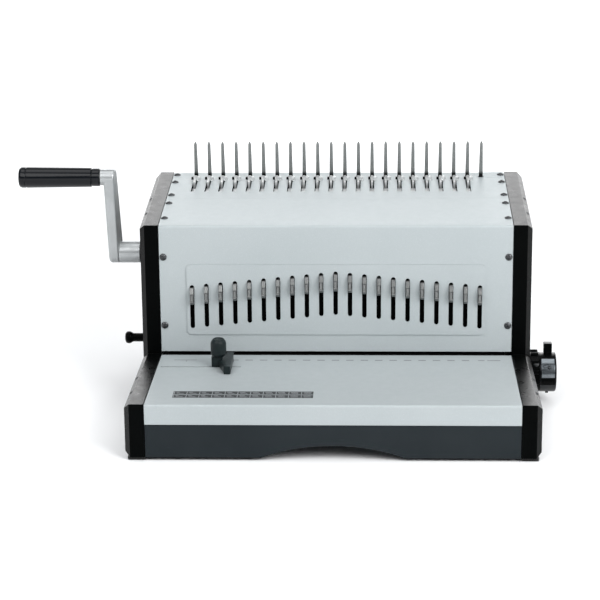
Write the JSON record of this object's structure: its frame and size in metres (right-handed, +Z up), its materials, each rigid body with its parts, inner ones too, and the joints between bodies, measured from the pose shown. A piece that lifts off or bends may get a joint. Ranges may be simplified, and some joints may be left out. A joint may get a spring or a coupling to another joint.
{
  "type": "comb binding machine",
  "caption": "Manual plastic comb binding machine: side lever with turning grip, geared punch and comb opener, paper table, edge guide, margin dial and chip tray.",
  "frame": {"origin": "centre of the machine's bounding box, on the plane that the feet stand on", "axes": "+X along the paper edge, away from the lever; +Y from the operator's side to the back; +Z up"},
  "size_m": [0.5326, 0.332, 0.245],
  "materials": {
    "silver_paint": "satin metallic grey powder coat",
    "dark_paint": "satin blue-black powder coat",
    "black_plastic": "fine-grained satin moulding",
    "gloss_black": "smooth gloss moulding",
    "cast_aluminium": "satin cast and painted silver",
    "bright_steel": "nickel-plated stamping",
    "machined_steel": "oiled, machined",
    "bronze": "sintered",
    "rubber": "matt"
  },
  "bodies": {
    "body": {"left_cheek": "black_plastic", "right_cheek": "black_plastic", "left_frame_plate": "machined_steel", "right_frame_plate": "machined_steel", "front_cover": "silver_paint", "hook_deck": "silver_paint", "rear_cover": "silver_paint", "paper_table": "silver_paint", "base_pan": "dark_paint", "left_front_foot": "rubber", "left_rear_foot": "rubber", "right_front_foot": "rubber", "right_rear_foot": "rubber", "die_plate": "machined_steel", "punch_guide": "machined_steel", "prong_plate": "bright_steel", "left_bushing": "bronze", "right_bushing": "bronze", "handle_collar": "rubber", "left_return_spring": "machined_steel", "right_return_spring": "machined_steel"},
    "drive": {"handle_arm": "cast_aluminium", "drive_shaft": "machined_steel", "left_pinion": "machined_steel", "right_pinion": "machined_steel"},
    "grip": {"handle_grip": "gloss_black"},
    "punch": {"punch_bar": "machined_steel", "left_punch_rack": "machined_steel", "right_punch_rack": "machined_steel", "punch_pin_01": "bright_steel", "punch_pin_02": "bright_steel", "punch_pin_03": "bright_steel", "punch_pin_04": "bright_steel", "punch_pin_05": "bright_steel", "punch_pin_06": "bright_steel", "punch_pin_07": "bright_steel", "punch_pin_08": "bright_steel", "punch_pin_09": "bright_steel", "punch_pin_10": "bright_steel", "punch_pin_11": "bright_steel", "punch_pin_12": "bright_steel", "punch_pin_13": "bright_steel", "punch_pin_14": "bright_steel", "punch_pin_15": "bright_steel", "punch_pin_16": "bright_steel", "punch_pin_17": "bright_steel", "punch_pin_18": "bright_steel", "punch_pin_19": "bright_steel", "punch_pin_20": "bright_steel", "punch_pin_21": "bright_steel"},
    "rake": {"hook_rake": "bright_steel", "left_rake_rack": "machined_steel", "right_rake_rack": "machined_steel"},
    "selector": {"selector_knob": "black_plastic"},
    "margin_dial": {"margin_knob": "gloss_black"},
    "lock_ring": {"margin_collar": "black_plastic"},
    "stop": {"margin_stop": "machined_steel"},
    "edge_guide": {"edge_guide": "black_plastic"},
    "clamp_knob": {"edge_guide_knob": "black_plastic"},
    "tray": {"chip_tray": "black_plastic"}
  },
  "joints": [
    {"name": "lever", "type": "hinge", "parent": "body", "child": "drive", "pos_m": [-0.16045, 0.029, 0.1528], "axis": [1, 0, 0], "range_deg": [0, 90]},
    {"name": "grip_spin", "type": "hinge", "parent": "drive", "child": "grip", "pos_m": [-0.22445, 0.004, 0.2346], "axis": [1, 0, 0], "continuous": true},
    {"name": "punch_stroke", "type": "slide", "parent": "body", "child": "punch", "axis": [0, 0, -1], "range_m": [0, 0.02042], "stiffness_N_per_m": 900, "springref_m": -0.02, "deforming": ["left_return_spring", "right_return_spring"]},
    {"name": "rake_stroke", "type": "slide", "parent": "body", "child": "rake", "axis": [0, -1, 0], "range_m": [0, 0.02042]},
    {"name": "selector_pull", "type": "slide", "parent": "body", "child": "selector", "axis": [-1, 0, 0], "range_m": [0, 0.006]},
    {"name": "margin_turn", "type": "hinge", "parent": "body", "child": "margin_dial", "pos_m": [0.25555, 0.014, 0.0318], "axis": [1, 0, 0], "range_deg": [-60, 60]},
    {"name": "margin_stop_shift", "type": "slide", "parent": "body", "child": "stop", "axis": [0, -1, 0], "range_m": [-0.00216, 0.00216]},
    {"name": "lock_ring_turn", "type": "hinge", "parent": "body", "child": "lock_ring", "pos_m": [0.24455, 0.014, 0.0318], "axis": [1, 0, 0], "range_deg": [0, 90]},
    {"name": "edge_guide_shift", "type": "slide", "parent": "body", "child": "edge_guide", "axis": [1, 0, 0], "range_m": [-0.049, 0.016]},
    {"name": "clamp_turn", "type": "hinge", "parent": "edge_guide", "child": "clamp_knob", "pos_m": [-0.06875, -0.045, 0.075], "axis": [0, 0, 1], "range_deg": [0, 180]},
    {"name": "tray_pull", "type": "slide", "parent": "body", "child": "tray", "axis": [0, 1, 0], "range_m": [0, 0.16]}
  ],
  "couplings": [
    {"joint": "lever", "follows": "punch_stroke", "rad_per_m": 76.923},
    {"joint": "rake_stroke", "follows": "punch_stroke", "ratio": 1},
    {"joint": "margin_turn", "follows": "margin_stop_shift", "rad_per_m": 483.8}
  ]
}
